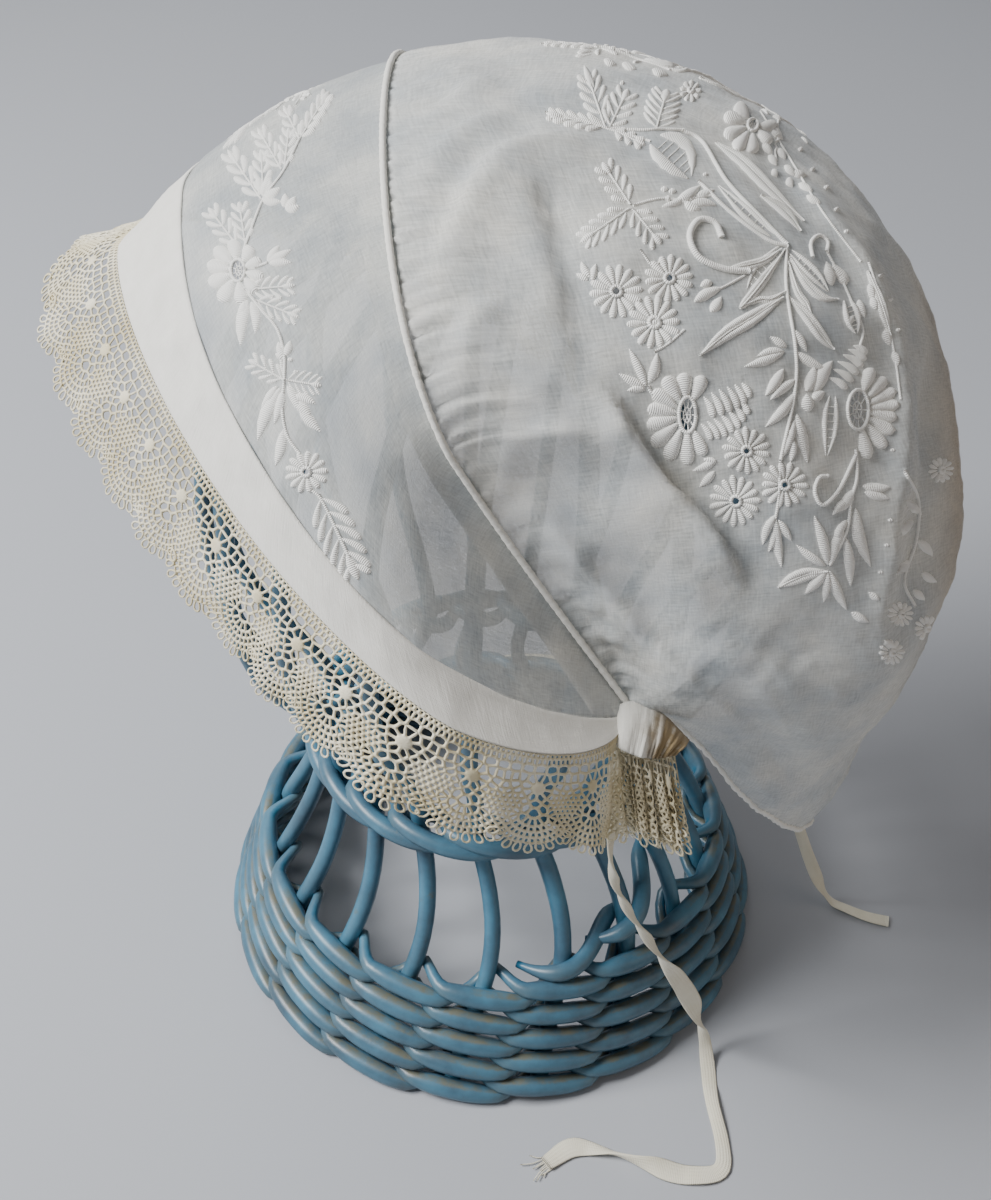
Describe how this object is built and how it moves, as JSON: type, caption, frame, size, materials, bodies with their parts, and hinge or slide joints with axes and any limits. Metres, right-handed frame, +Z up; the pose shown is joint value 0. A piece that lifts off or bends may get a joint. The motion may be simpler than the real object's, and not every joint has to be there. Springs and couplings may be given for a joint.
{
  "type": "lace cap on a wicker stand",
  "caption": "Sheer whitework bonnet with a gathered crown, hemmed front band, bobbin-lace edging and tape ties, held on a blue-painted wicker cap stand.",
  "frame": {"origin": "on the floor, under the middle of the cap and stand without the loose ties", "axes": "+Z up, the face opening looks along -X, the wearer's left side lies along -Y"},
  "size_m": [0.2525, 0.2391, 0.2754],
  "materials": {
    "batiste": "sheer white cotton batiste, matt",
    "hem_cloth": "doubled white cotton, matt",
    "lace_thread": "ecru linen thread, matt",
    "tape": "cream cotton tape, matt",
    "painted_cane": "willow cane in worn gloss blue paint"
  },
  "bodies": {
    "root": {"crown": "batiste", "front_band": "batiste", "front_hem": "hem_cloth", "seam_piping": "batiste", "lace_edging": "lace_thread", "chin_tie_near": "tape", "chin_tie_far": "tape", "nape_tie": "tape", "stand_skirt": "painted_cane", "stand_collar": "painted_cane", "stand_top": "painted_cane", "stave_01": "painted_cane", "stave_02": "painted_cane", "stave_03": "painted_cane", "stave_04": "painted_cane", "stave_05": "painted_cane", "stave_06": "painted_cane", "stave_07": "painted_cane", "stave_08": "painted_cane", "stave_09": "painted_cane", "stave_10": "painted_cane", "stave_11": "painted_cane", "stave_12": "painted_cane", "stave_13": "painted_cane", "stave_14": "painted_cane", "stave_15": "painted_cane", "stave_16": "painted_cane", "stave_17": "painted_cane", "stave_18": "painted_cane", "stave_19": "painted_cane"}
  },
  "joints": []
}
